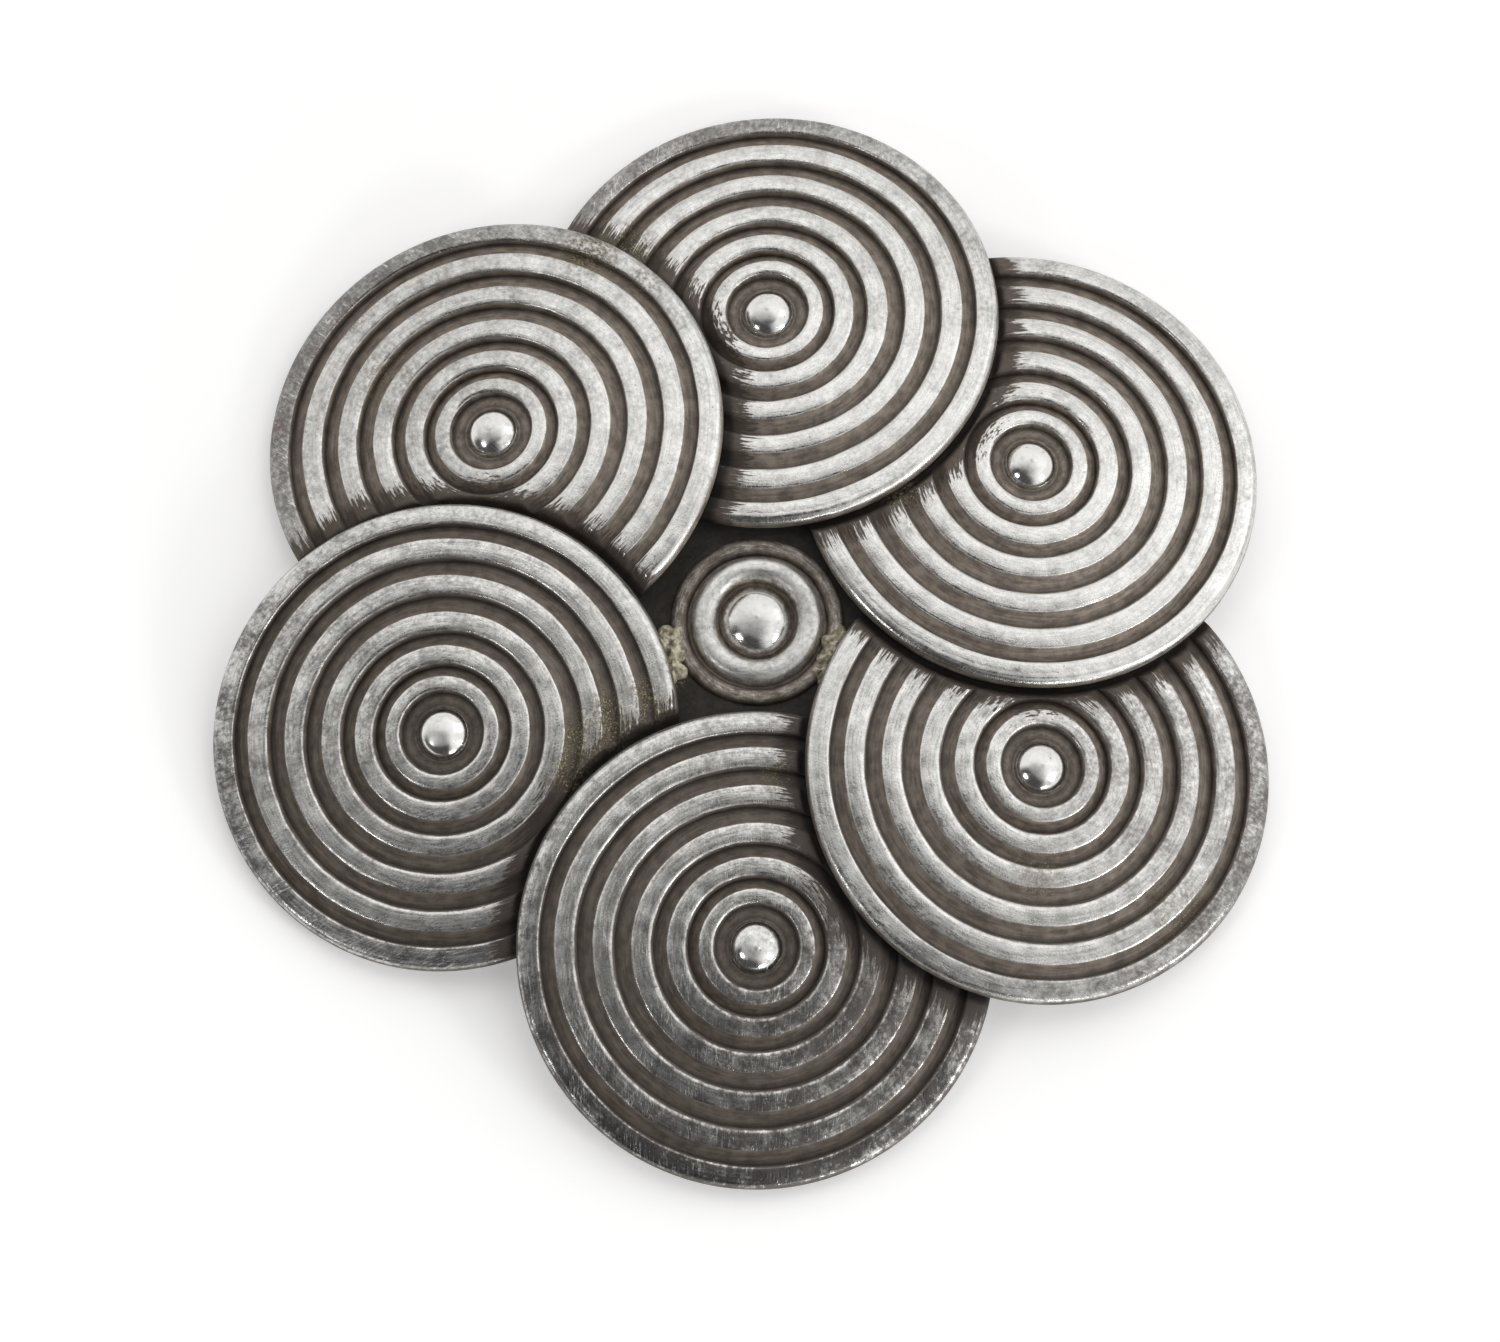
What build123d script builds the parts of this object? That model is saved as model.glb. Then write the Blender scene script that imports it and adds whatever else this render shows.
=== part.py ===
from build123d import *

import os
from collections import namedtuple
from math import acos, cos, radians, sin, sqrt, tan

# A silver brooch of six round discs, each lapped over its clockwise neighbour, round a central boss.
# Every disc carries the same raised pattern: a middle ball, five ridges and a rim.
# Millimetres. +Z is out of the face, +Y is towards the top disc, and the outer rims stand on z = 0.

# Disc
disc_radius = 14.0
sheet = 0.6  # plain metal under the relief
dome = 0.5  # rise of the middle over the rim
ridge_height = 0.62  # crown over the groove floor
ridge_wall = 0.40  # height of a ridge's steep wall, under the rounded crown
wall_lean = 0.16  # how far that wall leans inwards
ball_radius = 1.48
ball_height = 1.20
rim_shoulder = 0.62  # width of the rounded outer shoulder of the rim
edge_height = 0.42  # height of the outer edge over the back
back_bevel = 0.12

# Ridges, from the middle outwards, and the rim's inner edge, as shares of the disc's radius.
Ridge = namedtuple("Ridge", "inner outer")
ridges = [
    Ridge(inner=0.171, outer=0.254),
    Ridge(inner=0.284, outer=0.387),
    Ridge(inner=0.426, outer=0.533),
    Ridge(inner=0.586, outer=0.692),
    Ridge(inner=0.742, outer=0.852),
]
rim_inner = 0.895

# Discs, clockwise from the upper left. Each lies over the next one, and the last over the first.
# azimuth: counterclockwise from +X, in degrees.
# reach: from the boss's axis to the disc's middle, as a share of the disc's radius.
# lean: slope of the disc outwards and down, in degrees. twist: slope that lifts its clockwise side.
# lift: how far its lowest edge stands off the table.
Disc = namedtuple("Disc", "name azimuth reach lean twist lift")
discs = [
    Disc("disc_upper_left", azimuth=143.5, reach=1.411, lean=10.2, twist=3.2, lift=0.0),
    Disc("disc_top", azimuth=88.1, reach=1.395, lean=7.6, twist=3.4, lift=0.1),
    Disc("disc_upper_right", azimuth=31.0, reach=1.367, lean=7.8, twist=0.4, lift=0.3),
    Disc("disc_lower_right", azimuth=-28.1, reach=1.352, lean=9.1, twist=2.4, lift=0.0),
    Disc("disc_bottom", azimuth=-90.1, reach=1.405, lean=7.4, twist=2.6, lift=0.2),
    Disc("disc_lower_left", azimuth=-159.6, reach=1.409, lean=8.7, twist=2.8, lift=0.1),
]
tuck = 1.5  # how far a covered disc runs on past the line on which the two outlines cross
seam = 0.12  # clearance between a disc and its neighbours, the boss or the pin

# Boss
boss_ball_radius = 2.02
boss_ball_height = 1.75
boss_ring_inner = 2.35
boss_ring_outer = 3.95
boss_ring_height = 0.95
boss_ring_wall = 0.50
boss_step_inner = 4.15
boss_step_outer = 5.15
boss_step_height = 0.45
boss_step_wall = 0.20
boss_base_radius = 8.2
boss_base_thickness = 0.8

# Pin, one plain piece: a bar with a knuckle, a pointed stem and a hooked catch
pin_offset = 5.0  # above the middle, along +Y
bar_length = 34.0
bar_width = 2.6
bar_thickness = 0.7
stem_radius = 0.42
stem_clearance = 0.45  # room for cloth between the bar and the stem
stem_point = 3.0  # length of the tapered end
knuckle_radius = 0.75
knuckle_width = 2.2
catch_width = 2.0
catch_wall = 0.40
catch_mouth = 100.0  # degrees of the hook that stay open, towards -Y

# Shares
arc_middle = 0.6  # where along its radius the middle point of a cap's arc is taken
point_share = 0.25  # end of the stem's point over its shaft
hook_bite = 0.8  # inside of the hook over the stem's radius, so that the stem is seated in it
cheek_share = 1.5  # width of the knuckle's cheek over the knuckle's radius
post_share = 0.8  # width of the catch's post over the catch
base_sides = (-30, 0, 30)  # degrees, where a disc's inner edge may lie on the boss's base

disc_depth = sheet + ridge_height
beyond = 4 * disc_radius  # past every outline


def at(radius, height):
    """A point of a section that is turned about Z."""
    return (radius, 0, height)


def turned(edges):
    """The solid that a closed section makes when it is turned about Z."""
    return revolve(make_face(edges), Axis.Z)


def cap_arc(base_radius, height, base_level):
    """The arc of a ball, from its top on the axis down to its foot."""
    ball = (base_radius**2 + height**2) / (2 * height)
    top = base_level + height
    middle_radius = arc_middle * base_radius
    middle_level = top - ball + sqrt(ball**2 - middle_radius**2)
    return ThreePointArc(at(0, top), at(middle_radius, middle_level), at(base_radius, base_level))


def ridge_edges(inner, outer, height, wall, lean, level):
    """A ridge with leaning walls and a rounded crown. level gives the floor's height at a radius."""
    foot_in, foot_out = at(inner, level(inner)), at(outer, level(outer))
    top_in, top_out = at(inner + lean, level(inner) + wall), at(outer - lean, level(outer) + wall)
    middle = (inner + outer) / 2
    return [
        Line(foot_in, top_in),
        ThreePointArc(top_in, at(middle, level(middle) + height), top_out),
        Line(top_out, foot_out),
    ]


def floor_level(radius):
    """Height of a disc's groove floor. Zero is the plane of the rim's crown."""
    return dome * (1 - (radius / disc_radius) ** 2) - ridge_height


def disc_solid():
    """One whole disc, with its axis along Z and the rim's crown at z = 0."""
    edges = [cap_arc(ball_radius, ball_height, floor_level(ball_radius))]
    reached = ball_radius
    for ridge in ridges:
        inner, outer = ridge.inner * disc_radius, ridge.outer * disc_radius
        edges.append(Line(at(reached, floor_level(reached)), at(inner, floor_level(inner))))
        edges += ridge_edges(inner, outer, ridge_height, ridge_wall, wall_lean, floor_level)
        reached = outer

    inner = rim_inner * disc_radius
    shoulder = disc_radius - rim_shoulder
    wall_top = at(inner + wall_lean, floor_level(inner) + ridge_wall)
    shoulder_top = at(shoulder, floor_level(shoulder) + ridge_height - (ridge_height - ridge_wall) / 2)
    edge_top = at(disc_radius, edge_height - disc_depth)
    bulge = sin(radians(45))
    shoulder_drop = shoulder_top[2] - edge_top[2]
    edges += [
        Line(at(reached, floor_level(reached)), at(inner, floor_level(inner))),
        Line(at(inner, floor_level(inner)), wall_top),
        ThreePointArc(wall_top, at((inner + shoulder) / 2, 0), shoulder_top),
        ThreePointArc(
            shoulder_top,
            at(shoulder + bulge * rim_shoulder, edge_top[2] + bulge * shoulder_drop),
            edge_top,
        ),
    ]

    bevel_top = at(disc_radius, back_bevel - disc_depth)
    back_edge = at(disc_radius - back_bevel, -disc_depth)
    edges += [
        Line(edge_top, bevel_top),
        Line(bevel_top, back_edge),
        cap_arc(disc_radius - back_bevel, dome, -disc_depth),
        Line(at(0, dome - disc_depth), at(0, floor_level(ball_radius) + ball_height)),
    ]
    return turned(edges)


def slope_of(disc):
    """The whole angle between a disc's axis and Z, in radians."""
    return acos(cos(radians(disc.lean)) * cos(radians(disc.twist)))


def crown_height(disc):
    """Height of the middle of a disc's crown plane, with its lowest edge at its lift over the table."""
    slope = slope_of(disc)
    return disc.lift + disc_depth * cos(slope) + (disc_radius - back_bevel) * sin(slope)


def place_of(disc):
    """Turns a disc's own frame into the brooch's frame."""
    outwards = Rot(Z=disc.azimuth)
    middle = Pos(disc.reach * disc_radius, 0, crown_height(disc))
    return outwards * middle * Rot(Y=disc.lean) * Rot(X=-disc.twist)


def room_of(disc):
    """All that a disc keeps clear of its neighbour: itself with the seam, and what is over it."""
    from_foot = (Align.CENTER, Align.CENTER, Align.MIN)
    foot = Pos(0, 0, -disc_depth - seam)
    return place_of(disc) * foot * Cylinder(disc_radius + seam, 3 * disc_depth, align=from_foot)


def past_the_tuck(disc, over):
    """The block beyond the straight cut that ends a disc's hidden side, under its neighbour."""
    here, there = place_of(disc).position, place_of(over).position
    towards = Vector(there.X - here.X, there.Y - here.Y, 0).normalized()
    crossing = Vector((here.X + there.X) / 2, (here.Y + there.Y) / 2, 0)
    cut = Plane(origin=crossing + towards * tuck, x_dir=towards, z_dir=(0, 0, 1))
    return cut * Pos(beyond / 2, 0, 0) * Box(beyond, beyond, beyond)


def underside_height(disc, radius, azimuth):
    """Height of the plane of a disc's back edge, at a distance and direction from the boss's axis."""
    off = radians(azimuth - disc.azimuth)
    outwards = radius * cos(off) - disc.reach * disc_radius
    sideways = radius * sin(off)
    fall = outwards * tan(radians(disc.lean)) + sideways * tan(radians(disc.twist))
    return crown_height(disc) - fall - disc_depth / cos(slope_of(disc))


def boss_base_top():
    """The boss's base lies close under the inner edges of all the discs."""
    corners = [
        underside_height(disc, boss_base_radius, disc.azimuth + side)
        for disc in discs
        for side in base_sides
    ]
    return min(corners) - seam


def boss_solid():
    """The boss: ball, ring, low step and the base that the discs' inner edges lie on."""
    top = boss_base_top()

    def level(radius):
        return top

    edges = [
        cap_arc(boss_ball_radius, boss_ball_height, top),
        Line(at(boss_ball_radius, top), at(boss_ring_inner, top)),
        *ridge_edges(boss_ring_inner, boss_ring_outer, boss_ring_height, boss_ring_wall, wall_lean, level),
        Line(at(boss_ring_outer, top), at(boss_step_inner, top)),
        *ridge_edges(boss_step_inner, boss_step_outer, boss_step_height, boss_step_wall, wall_lean, level),
        Line(at(boss_step_outer, top), at(boss_base_radius, top)),
        Line(at(boss_base_radius, top), at(boss_base_radius, top - boss_base_thickness)),
        Line(at(boss_base_radius, top - boss_base_thickness), at(0, top - boss_base_thickness)),
        Line(at(0, top - boss_base_thickness), at(0, top + boss_ball_height)),
    ]
    return turned(edges)


def pin_solid():
    """The pin, seated under the boss's base, with its stem shut in its catch."""
    bar_top = boss_base_top() - boss_base_thickness - seam
    bar_bottom = bar_top - bar_thickness
    stem_height = bar_bottom - stem_clearance - stem_radius
    knuckle_x = bar_width / 2 - bar_length / 2
    catch_x = -knuckle_x

    bar = extrude(SlotOverall(bar_length, bar_width), bar_thickness)
    bar = Pos(0, 0, bar_bottom) * bar

    cheek_height = bar_bottom - stem_height
    cheek = Pos(knuckle_x, 0, stem_height + cheek_height / 2) * Box(
        cheek_share * knuckle_radius, knuckle_width, cheek_height
    )
    knuckle = Pos(knuckle_x, 0, stem_height) * Rot(X=90) * Cylinder(knuckle_radius, knuckle_width)

    tip_x = catch_x + catch_width
    shaft_length = tip_x - stem_point - knuckle_x
    shaft_middle = Pos(knuckle_x + shaft_length / 2, 0, stem_height)
    shaft = shaft_middle * Rot(Y=90) * Cylinder(stem_radius, shaft_length)
    point = Pos(tip_x - stem_point / 2, 0, stem_height) * Rot(Y=90) * Cone(
        stem_radius, point_share * stem_radius, stem_point
    )

    hook_inner = hook_bite * stem_radius
    hook_outer = stem_radius + catch_wall
    hook_closed = 360 - catch_mouth
    outer_arc = CenterArc((0, 0), hook_outer, 0, hook_closed)
    inner_arc = CenterArc((0, 0), hook_inner, 0, hook_closed)
    hook_face = make_face([
        outer_arc,
        inner_arc,
        Line(inner_arc @ 0, outer_arc @ 0),
        Line(inner_arc @ 1, outer_arc @ 1),
    ])
    across = Plane(origin=(catch_x, 0, stem_height), x_dir=(0, 1, 0), z_dir=(1, 0, 0))
    hook = across * Rot(Z=catch_mouth / 2 - 180) * extrude(hook_face, catch_width / 2, both=True)
    post_height = bar_bottom - stem_height - stem_radius
    post = Pos(catch_x, 0, bar_bottom - post_height / 2) * Box(
        post_share * catch_width, 2 * catch_wall, post_height
    )
    return Pos(0, pin_offset, 0) * (bar + cheek + knuckle + shaft + point + hook + post)


def brooch():
    """All the pieces, by name, with the boss's axis on Z."""
    whole = disc_solid()
    pieces = {}
    for disc, over in zip(discs, discs[-1:] + discs[:-1]):
        pieces[disc.name] = place_of(disc) * whole - past_the_tuck(disc, over) - room_of(over)
    pieces["centre_boss"] = boss_solid()
    pieces["back_pin"] = pin_solid()
    return pieces


def centred(pieces):
    """The same pieces, with the origin at the middle of the box's bottom."""
    boxes = [piece.bounding_box() for piece in pieces.values()]
    middle_x = (min(box.min.X for box in boxes) + max(box.max.X for box in boxes)) / 2
    middle_y = (min(box.min.Y for box in boxes) + max(box.max.Y for box in boxes)) / 2
    shift = Pos(-middle_x, -middle_y, -min(box.min.Z for box in boxes))
    return {name: shift * piece for name, piece in pieces.items()}


os.makedirs("parts", exist_ok=True)
for name, piece in centred(brooch()).items():
    export_step(piece, f"parts/{name}.step")
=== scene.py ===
import math
from collections import namedtuple

import bmesh
import bpy
import numpy as np
from mathutils import Matrix, Vector


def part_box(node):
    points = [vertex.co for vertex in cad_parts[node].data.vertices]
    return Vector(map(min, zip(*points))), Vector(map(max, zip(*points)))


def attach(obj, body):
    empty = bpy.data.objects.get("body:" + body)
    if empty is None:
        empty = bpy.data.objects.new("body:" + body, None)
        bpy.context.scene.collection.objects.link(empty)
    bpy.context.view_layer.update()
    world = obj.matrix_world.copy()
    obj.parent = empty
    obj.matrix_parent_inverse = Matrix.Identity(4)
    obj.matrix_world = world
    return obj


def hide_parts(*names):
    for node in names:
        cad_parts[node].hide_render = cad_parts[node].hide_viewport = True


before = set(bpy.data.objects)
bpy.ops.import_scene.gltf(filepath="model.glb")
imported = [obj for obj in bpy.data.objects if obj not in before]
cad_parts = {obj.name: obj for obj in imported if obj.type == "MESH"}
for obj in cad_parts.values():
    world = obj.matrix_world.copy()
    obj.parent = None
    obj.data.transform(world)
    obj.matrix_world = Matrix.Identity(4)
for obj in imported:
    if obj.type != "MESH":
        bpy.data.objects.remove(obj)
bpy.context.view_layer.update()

# A silver brooch of six lapped discs round a boss. The CAD pieces give the places and the sizes;
# the discs and the boss are drawn again here with their worn relief. Tables are in millimetres.
MM = 0.001

# Sizes of the model, as in its source
DISC_RADIUS = 14.0
SHEET = 0.6
DOME = 0.5
RIDGE_HEIGHT = 0.62
RIM_SHOULDER = 0.62
EDGE_HEIGHT = 0.42
BACK_BEVEL = 0.12
TUCK = 1.5
SEAM = 0.12
DISC_DEPTH = SHEET + RIDGE_HEIGHT

# Where a disc's ridges and its rim start and end, as shares of its radius
Ridge = namedtuple("Ridge", "inner outer")
RIDGES = [
    Ridge(inner=0.171, outer=0.254),
    Ridge(inner=0.284, outer=0.387),
    Ridge(inner=0.426, outer=0.533),
    Ridge(inner=0.586, outer=0.692),
    Ridge(inner=0.742, outer=0.852),
]
RIM_INNER = 0.895

# Where the discs lie round the boss. reach is a share of the disc's radius, and angles are in degrees.
Disc = namedtuple("Disc", "name azimuth reach lean twist lift")
DISCS = [
    Disc("disc_upper_left", azimuth=143.5, reach=1.411, lean=10.2, twist=3.2, lift=0.0),
    Disc("disc_top", azimuth=88.1, reach=1.395, lean=7.6, twist=3.4, lift=0.1),
    Disc("disc_upper_right", azimuth=31.0, reach=1.367, lean=7.8, twist=0.4, lift=0.3),
    Disc("disc_lower_right", azimuth=-28.1, reach=1.352, lean=9.1, twist=2.4, lift=0.0),
    Disc("disc_bottom", azimuth=-90.1, reach=1.405, lean=7.4, twist=2.6, lift=0.2),
    Disc("disc_lower_left", azimuth=-159.6, reach=1.409, lean=8.7, twist=2.8, lift=0.1),
]
BOSS_STEP_INNER, BOSS_STEP_OUTER, BOSS_STEP_HEIGHT = 4.15, 5.15, 0.45
BOSS_BASE_RADIUS = 8.2
BOSS_BASE_THICKNESS = 0.8

# Finish of the discs, in the same order.
# dull: how much of the silver is clouded, from 0 to 1, and more: how much more it is darkened on the side
# that faces dull_side, partly as tarnish and partly as painted shade on that side.
# rim_dull: how much more the rim is darkened on its side that faces rim_side, partly as tarnish and partly
# as painted shade on that side.
# film: how far the brown film creeps up the ridges.
# dirt: how dark the film is, and how marbled the silver, from 0 to 1.
Wear = namedtuple("Wear", "dull more dull_side rim_dull rim_side film dirt")
WEAR = [
    Wear(dull=0.05, more=0.25, dull_side=140, rim_dull=0.4, rim_side=150, film=0.0, dirt=0.05),
    Wear(dull=0.02, more=0.12, dull_side=90, rim_dull=0.5, rim_side=130, film=0.02, dirt=0.05),
    Wear(dull=0.0, more=0.08, dull_side=60, rim_dull=0.2, rim_side=90, film=-0.01, dirt=0.0),
    Wear(dull=0.0, more=0.34, dull_side=20, rim_dull=0.3, rim_side=-40, film=0.14, dirt=0.25),
    Wear(dull=0.14, more=0.42, dull_side=-50, rim_dull=0.3, rim_side=-110, film=0.21, dirt=0.5),
    Wear(dull=0.0, more=0.26, dull_side=160, rim_dull=0.3, rim_side=235, film=0.17, dirt=0.45),
]

# The balls are worn a little broader and lower than in the source, and the boss's ring starts further out.
BALL_RADIUS = 1.62
BALL_HEIGHT = 1.04
BOSS_BALL_RADIUS = 2.28
BOSS_BALL_HEIGHT = 1.38
BOSS_RING_INNER, BOSS_RING_OUTER, BOSS_RING_HEIGHT = 2.40, 3.95, 0.95

# Wear of the ridges. The crown bends about the place CROWN_TOP, a share of the ridge's width.
CROWN_BEND, CROWN_TOP = 0.2, 0.36
INNER_EDGE = 0.29  # how far the rounded inner edge reaches, as a share of the width
WALL_POWER = 0.8  # how square that edge is: less is squarer, and 1 a quarter of an ellipse
OUTER_EDGE = 0.35  # radius of the outer edge
FLANK_ANGLE = 52.0  # slope of the outer side, in degrees
INNER_SHIFT, OUTER_SHIFT = 0.03, -0.10  # how far out the worn ridge's sides lie from the source's

# Wear of the rim
RIM_BEND = 0.12
RIM_LOW = 0.05  # how much lower its crown is
RIM_POWER = 0.9  # how square its outer edge is, as WALL_POWER
UNDERCUT = 0.03  # how far its foot draws back
RIM_RIPPLE = 0.03  # how far the outline wanders inwards
BACK_INSET = 1.6 * BACK_BEVEL  # how far inside the outline the back starts
RIM_BAND = (0.86, 0.92)  # shares of the disc's radius over which rim_dull, partly painted shade, grows

# How unevenly the relief is made and worn: how much, and the size of the bumps
Layer = namedtuple("Layer", "amount size")
DISC_WANDER = (Layer(0.028, 5.0), Layer(0.008, 1.2))
DISC_WORN = (Layer(0.05, 3.0), Layer(0.02, 0.7))
DISC_HEIGHT_SHARE, LOWEST_WORN = 0.95, 0.84
RIPPLE_SIZE = 7.0
BOSS_WANDER = (Layer(0.03, 2.5), Layer(0.01, 0.8))
BOSS_WORN = (Layer(0.02, 1.5),)
BOSS_HEIGHT_SHARE = 0.98
CRUST_OUTLINE = (Layer(0.3, 0.6),)
CRUST_ROUGH = (Layer(0.35, 0.5), Layer(0.2, 0.2))

# Where a disc dives under its neighbour: how steeply its face may rise again beside it, how far out
# its back is pressed down as well, and the sheet that is left there
LAP_SLOPE, LAP_REACH, LAP_SHEET = 1.3, 0.5, 0.25
# By the lap the film is painted nearly black, as shade under the neighbour's edge
SHADE_UNDER_REACH = 0.45  # how far out of the lap it is nearly black
FAR_FROM_LAP = 6.0  # the distance from the lap is stored up to here

# How brightly a surface is rubbed: 0 is all film and 1 a crown
EDGE_SHINE = 1.12
POLISHED, MATT_TOP = 1.4, 1.6  # a ball's side and its top
BALL_FOOT_SHINE = 0.1
STEP_SHINE = 0.6
BACK_SHINE = 0.4
FILM_BELOW = 1.2  # the film creeps over what is rubbed less than this

# How finely the relief is drawn
DISC_AROUND = 400
BOSS_AROUND = 280
BACK_RINGS = 14
BALL_COUNT, BOSS_BALL_COUNT = 13, 20
RING_COUNT, STEP_COUNT = 25, 15
EDGE_COUNT, CROWN_COUNT, SLOPE_COUNT, GROOVE_COUNT = 9, 5, 6, 5
CRUST_AROUND, CRUST_RINGS = 72, 18
SHARP_ANGLE = math.radians(60)

boss_low, boss_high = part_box("centre_boss")
BOSS_AXIS = np.array([(boss_low.x + boss_high.x) / 2, (boss_low.y + boss_high.y) / 2]) / MM
BASE_TOP = boss_low.z / MM + BOSS_BASE_THICKNESS

# Yellowish grime, in the brooch's own frame: x and y of its middle, and how far it reaches
Stain = namedtuple("Stain", "x y reach strength")
STAINS = [
    Stain(x=-9.2, y=23.4, reach=1.6, strength=1.0),
    Stain(x=-6.6, y=24.6, reach=1.2, strength=0.8),
    Stain(x=-5.8, y=21.2, reach=1.0, strength=0.6),
    Stain(x=-8.1, y=-6.2, reach=1.5, strength=1.0),
    Stain(x=-9.3, y=-7.4, reach=1.2, strength=1.0),
    Stain(x=-10.3, y=-9.2, reach=1.1, strength=0.9),
    Stain(x=2.0, y=-9.4, reach=0.9, strength=0.5),
    Stain(x=-5.6, y=-5.0, reach=1.2, strength=0.9),
    Stain(x=-4.0, y=-3.2, reach=0.8, strength=0.7),
    Stain(x=9.6, y=7.8, reach=1.1, strength=0.6),
    Stain(x=17.2, y=-15.2, reach=1.4, strength=0.6),
    Stain(x=25.5, y=-17.0, reach=1.5, strength=0.6),
    Stain(x=-21.5, y=16.0, reach=1.8, strength=0.5),
]
# Small purplish spots on the rim at the upper left
BLOOMS = [
    Stain(x=-24.2, y=19.4, reach=0.7, strength=1.0),
    Stain(x=-23.4, y=19.8, reach=0.6, strength=0.8),
    Stain(x=-25.6, y=17.6, reach=0.6, strength=0.7),
    Stain(x=-28.2, y=13.1, reach=0.6, strength=0.9),
    Stain(x=-21.9, y=16.2, reach=0.5, strength=0.5),
]


def waves(points, size, seed, count=24):
    """A smooth random field over points, about -1 to 1, with bumps about size wide."""
    rng = np.random.default_rng(seed)
    directions = rng.normal(size=(points.shape[1], count))
    directions /= np.linalg.norm(directions, axis=0)
    numbers = 2 * np.pi / (size * rng.uniform(1.5, 3.5, count))
    phases = rng.uniform(0, 2 * np.pi, count)
    return np.sin(points @ (directions * numbers) + phases).sum(1) * math.sqrt(2 / count) / 1.5


def uneven(points, layers, seed):
    """The sum of some layers of waves. Each has a seed of its own."""
    return sum(layer.amount * waves(points, layer.size, seed + k) for k, layer in enumerate(layers))


def smooth_step(value, low, high):
    share = np.clip((value - low) / (high - low), 0, 1)
    return share * share * (3 - 2 * share)


# Sections are lists of (distance from the axis, height over the floor, how brightly it is rubbed,
# how near it is to the corner on a groove's outer side, where the film gets painted shade).


def ball_rows(radius, height, count):
    """A ball, from beside its top to its foot."""
    sphere = (radius**2 + height**2) / (2 * height)
    turns = np.linspace(0, math.asin(radius / sphere), count + 1)[1:]
    rows = []
    for turn in turns:
        reach = sphere * math.sin(turn)
        share = reach / radius
        shine = MATT_TOP - (MATT_TOP - POLISHED) * smooth_step(share, 0.35, 0.75)
        shine -= (POLISHED - BALL_FOOT_SHINE) * smooth_step(share, 0.9, 1.0)
        rows.append((reach, height - sphere * (1 - math.cos(turn)), shine, 0.0))
    return rows


def round_ridge_rows(inner, outer, height, count, squareness, shine=1.0):
    """A ridge whose section is half a superellipse."""
    middle, half = (inner + outer) / 2, (outer - inner) / 2
    power = 2 / squareness
    rows = []
    for swing in np.linspace(-np.pi / 2, np.pi / 2, count):
        across = math.copysign(abs(math.sin(swing)) ** power, swing)
        rise = abs(math.cos(swing)) ** power
        # painted shade: the inner half of a round ridge is marked as lying in the groove's corner
        corner_shade = 1 - rise if swing < 0 else 0.0
        rows.append((middle + half * across, height * rise, shine * rise**0.7, corner_shade))
    return rows


def worn_crown(share, width, bend=CROWN_BEND):
    """Height of a ridge's crown, nearly flat by its inner edge and falling to its outer one."""
    return RIDGE_HEIGHT - bend * width * (share - CROWN_TOP) ** 2


def inner_wall_rows(inner, width, bend=CROWN_BEND, low=0.0):
    """The steep inner side of a ridge, which rounds over into its crown. low is how much lower that is."""
    top = worn_crown(INNER_EDGE, width, bend) - low
    rows = []
    for turn in np.linspace(0, np.pi / 2, EDGE_COUNT)[:-1]:
        rise = math.sin(turn) ** WALL_POWER
        across = INNER_EDGE * width * (1 - math.cos(turn) ** WALL_POWER)
        # the foot of the wall is marked for painted shade in the groove's corner
        rows.append((inner + across, top * rise, EDGE_SHINE * smooth_step(rise, 0.6, 1.0), 1 - rise))
    return rows


def ridge_rows(inner, outer):
    """A worn ridge of a disc, from the foot of its inner side to the start of its outer slope."""
    inner, outer = inner + INNER_SHIFT, outer + OUTER_SHIFT
    width = outer - inner
    rows = inner_wall_rows(inner, width)
    steep = math.radians(FLANK_ANGLE)
    reach = OUTER_EDGE * (math.sin(steep) - CROWN_BEND)
    last = 1 - reach / width
    for share in np.linspace(INNER_EDGE, last, CROWN_COUNT):
        rows.append((inner + width * share, worn_crown(share, width), 1.0, 0.0))
    level = rows[-1][1]
    start = math.atan(2 * CROWN_BEND * (last - CROWN_TOP))
    for turn in np.linspace(start, steep, SLOPE_COUNT)[1:]:
        drop = OUTER_EDGE * (math.cos(start) - math.cos(turn))
        across = OUTER_EDGE * (math.sin(turn) - math.sin(start))
        shine = EDGE_SHINE * (1 - smooth_step(turn / steep, 0.45, 1.0))
        rows.append((inner + width * last + across, level - drop, shine, 0.0))
    return rows


def groove_rows(inner, outer, start=0.0, count=GROOVE_COUNT, shaded_start=False):
    """A groove, from the height that the ridge inside it leaves down to the foot of the next one."""
    width = outer - inner
    power = 1.0
    if start:
        power = min(2.2, max(1.2, math.tan(math.radians(FLANK_ANGLE)) * width / start))
    shares = np.linspace(0, 1, count + 2)[1:-1]
    rows = []
    for share in shares:
        # painted shade: darker towards the next ridge's foot, and with shaded_start also by the ball's foot
        corner_shade = smooth_step(share, 0.5, 1.0)
        if shaded_start:
            corner_shade = max(corner_shade, 1 - smooth_step(share, 0.0, 0.7))
        rows.append((inner + width * share, start * (1 - share) ** power, 0.0, corner_shade))
    return rows


def floor_level(radius):
    """Height of a disc's groove floor, with zero at the plane of the rim's crown."""
    return DOME * (1 - (radius / DISC_RADIUS) ** 2) - RIDGE_HEIGHT


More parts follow.
